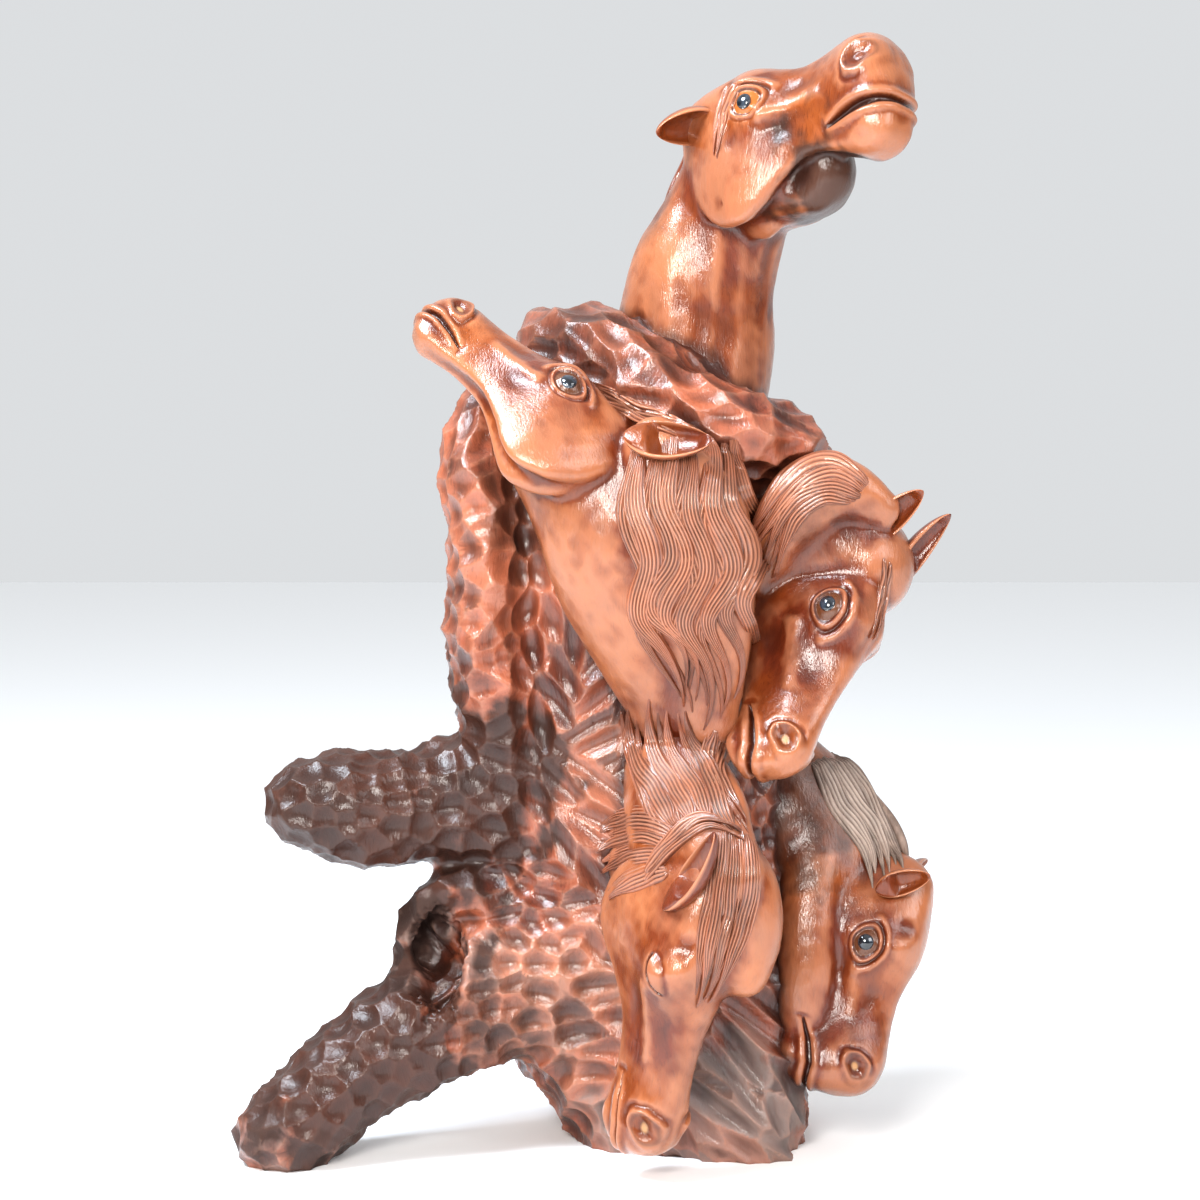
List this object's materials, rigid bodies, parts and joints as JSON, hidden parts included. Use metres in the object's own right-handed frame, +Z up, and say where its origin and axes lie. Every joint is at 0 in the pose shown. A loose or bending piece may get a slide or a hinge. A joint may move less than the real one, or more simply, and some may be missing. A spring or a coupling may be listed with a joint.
{
  "type": "horse head sculpture",
  "caption": "Free-standing tree-root carving in varnished red wood, its gouged trunk growing into horse heads with dark inlaid eyes.",
  "frame": {"origin": "on the floor under the middle of the carving's box", "axes": "+Z up the trunk, -Y towards the viewer who sees the heads, +X to that viewer's right, away from the two left roots"},
  "size_m": [0.6081, 0.3764, 0.9581],
  "materials": {
    "varnished_wood": "reddish-brown stain under semi-gloss to glossy varnish, gouge-cut trunk, smooth heads",
    "dark_eye": "opaque blue-black, polished"
  },
  "bodies": {
    "root": {"carved_root": "varnished_wood", "pupil_top_right": "dark_eye", "pupil_top_left": "dark_eye", "pupil_left_left": "dark_eye", "pupil_right_right": "dark_eye", "pupil_right_left": "dark_eye", "pupil_low_right": "dark_eye", "pupil_low_left": "dark_eye"}
  },
  "joints": []
}
